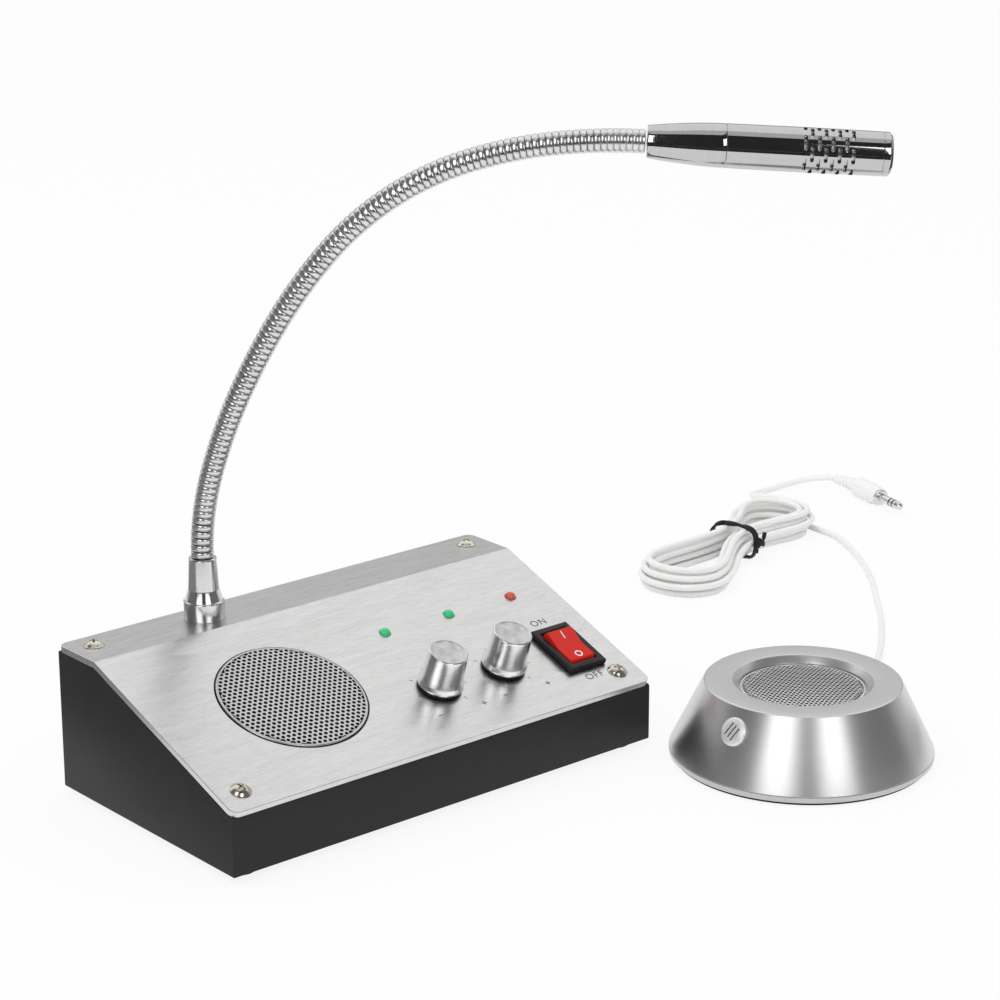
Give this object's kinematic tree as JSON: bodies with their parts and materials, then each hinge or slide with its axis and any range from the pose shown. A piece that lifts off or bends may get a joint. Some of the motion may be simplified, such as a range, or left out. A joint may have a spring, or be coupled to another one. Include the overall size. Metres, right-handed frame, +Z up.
{
  "type": "teller window intercom",
  "caption": "Two-way counter intercom: sloped console with gooseneck microphone, knobs, lamps and rocker switch, and a round outer speaker on a tied cord with a plug.",
  "frame": {"origin": "on the surface the units stand on, below the middle of the box round everything that is not cord", "axes": "+X along the console's front from its speaker to its switch side, +Y from front to back, +Z up"},
  "size_m": [0.4207, 0.2501, 0.2098],
  "materials": {
    "housing": "satin, fine texture",
    "face_plate": "brushed along X",
    "screws": "bright zinc",
    "rubber": "matt",
    "grille": "satin",
    "basket": "satin",
    "magnet": "matt, ferrite",
    "cone": "matt",
    "lamp_green": "clear tinted",
    "lamp_red": "clear tinted",
    "pot_metal": "plated",
    "knob": "polished, turned",
    "moulded_black": "satin",
    "rocker_red": "glossy",
    "tabs": "tinned",
    "board": "satin",
    "heatsink": "anodised",
    "capacitor": "glossy sleeve",
    "chrome": "polished",
    "neck_steel": "bright, ribbed",
    "capsule": "matt",
    "shell": "satin, turned",
    "shell_grille": "satin",
    "cap": "turned",
    "cord_white": "satin",
    "plug_chrome": "polished"
  },
  "bodies": {
    "root": {"base_housing": "housing", "face_plate": "face_plate", "face_screws": "screws", "rubber_feet": "rubber", "console_grille": "grille", "driver_basket": "basket", "driver_magnet": "magnet", "driver_cone": "cone", "lamp_inside": "lamp_green", "lamp_outside": "lamp_green", "lamp_power": "lamp_red", "pot_inside": "pot_metal", "pot_outside": "pot_metal", "pot_nuts": "screws", "switch_frame": "moulded_black", "switch_tabs": "tabs", "main_pcb": "board", "amp_heatsink": "heatsink", "capacitors": "capacitor", "dc_socket": "moulded_black", "jack_socket": "moulded_black", "neck_collar": "chrome", "neck_nut": "screws", "outer_shell": "shell", "outer_grille": "shell_grille", "outer_base": "shell", "base_pad": "rubber", "outer_driver": "basket", "outer_cone": "cone", "outer_mic_cap": "cap", "outer_mic_capsule": "capsule", "cord_grommet": "cord_white", "base_screws": "screws", "cord_lead": "cord_white", "cord_hank": "cord_white", "cord_tail": "cord_white", "twist_tie": "moulded_black", "plug_boot": "cord_white", "plug_body": "cord_white", "plug_pin": "plug_chrome", "plug_rings": "moulded_black"},
    "neck_1": {"neck_link_1": "neck_steel"},
    "neck_2": {"neck_link_2": "neck_steel"},
    "neck_3": {"neck_link_3": "neck_steel"},
    "neck_4": {"neck_link_4": "neck_steel"},
    "neck_5": {"neck_link_5": "neck_steel"},
    "neck_6": {"neck_link_6": "neck_steel"},
    "neck_7": {"neck_link_7": "neck_steel"},
    "neck_8": {"neck_link_8": "neck_steel"},
    "mic": {"mic_sleeve": "chrome", "mic_barrel": "chrome", "mic_capsule": "capsule"},
    "knob_inside_turn": {"knob_inside": "knob", "knob_core_inside": "moulded_black", "pot_shaft_inside": "pot_metal"},
    "knob_outside_turn": {"knob_outside": "knob", "knob_core_outside": "moulded_black", "pot_shaft_outside": "pot_metal"},
    "rocker": {"switch_rocker": "rocker_red"}
  },
  "joints": [
    {"name": "neck_bend_1", "type": "hinge", "parent": "root", "child": "neck_1", "pos_m": [-0.072, 0.0779, 0.0707], "axis": [0.6468, 0.7627, 0], "range_deg": [-10, 10]},
    {"name": "neck_sway_1", "type": "hinge", "parent": "neck_1", "child": "neck_2", "pos_m": [-0.06922, 0.07554, 0.09747], "axis": [0.7349, -0.6233, -0.2672], "range_deg": [-10, 10]},
    {"name": "neck_bend_2", "type": "hinge", "parent": "neck_2", "child": "neck_3", "pos_m": [-0.06216, 0.06955, 0.12291], "axis": [0.6468, 0.7627, 0], "range_deg": [-10, 10]},
    {"name": "neck_sway_2", "type": "hinge", "parent": "neck_3", "child": "neck_4", "pos_m": [-0.05254, 0.0614, 0.14688], "axis": [0.6537, -0.5544, -0.515], "range_deg": [-10, 10]},
    {"name": "neck_bend_3", "type": "hinge", "parent": "neck_4", "child": "neck_5", "pos_m": [-0.04048, 0.05117, 0.16885], "axis": [0.6468, 0.7627, 0], "range_deg": [-10, 10]},
    {"name": "neck_sway_3", "type": "hinge", "parent": "neck_5", "child": "neck_6", "pos_m": [-0.02505, 0.03808, 0.18675], "axis": [0.4209, -0.357, -0.8339], "range_deg": [-10, 10]},
    {"name": "neck_bend_4", "type": "hinge", "parent": "neck_6", "child": "neck_7", "pos_m": [-0.00642, 0.02229, 0.19827], "axis": [0.6468, 0.7627, 0], "range_deg": [-10, 10]},
    {"name": "neck_sway_4", "type": "hinge", "parent": "neck_7", "child": "neck_8", "pos_m": [0.01382, 0.00512, 0.20355], "axis": [0.0731, -0.062, -0.9954], "range_deg": [-10, 10]},
    {"name": "neck_bend_5", "type": "hinge", "parent": "neck_8", "child": "mic", "pos_m": [0.03446, -0.01238, 0.20409], "axis": [0.6468, 0.7627, 0], "range_deg": [-10, 10]},
    {"name": "volume_inside", "type": "hinge", "parent": "root", "child": "knob_inside_turn", "pos_m": [-0.0241, 0.0175, 0.03168], "axis": [0, -0.3484, 0.9373], "range_deg": [-150, 150]},
    {"name": "volume_outside", "type": "hinge", "parent": "root", "child": "knob_outside_turn", "pos_m": [0.0026, 0.0175, 0.03168], "axis": [0, -0.3484, 0.9373], "range_deg": [-150, 150]},
    {"name": "power_rocker", "type": "hinge", "parent": "root", "child": "rocker", "pos_m": [0.0293, 0.0169, 0.02985], "axis": [1, 0, 0], "range_deg": [-16, 0]}
  ],
  "couplings": [
    {"joint": "neck_bend_2", "follows": "neck_bend_1", "ratio": 1},
    {"joint": "neck_sway_2", "follows": "neck_sway_1", "ratio": 1},
    {"joint": "neck_bend_3", "follows": "neck_bend_1", "ratio": 1},
    {"joint": "neck_sway_3", "follows": "neck_sway_1", "ratio": 1},
    {"joint": "neck_bend_4", "follows": "neck_bend_1", "ratio": 1},
    {"joint": "neck_sway_4", "follows": "neck_sway_1", "ratio": 1},
    {"joint": "neck_bend_5", "follows": "neck_bend_1", "ratio": 1}
  ]
}
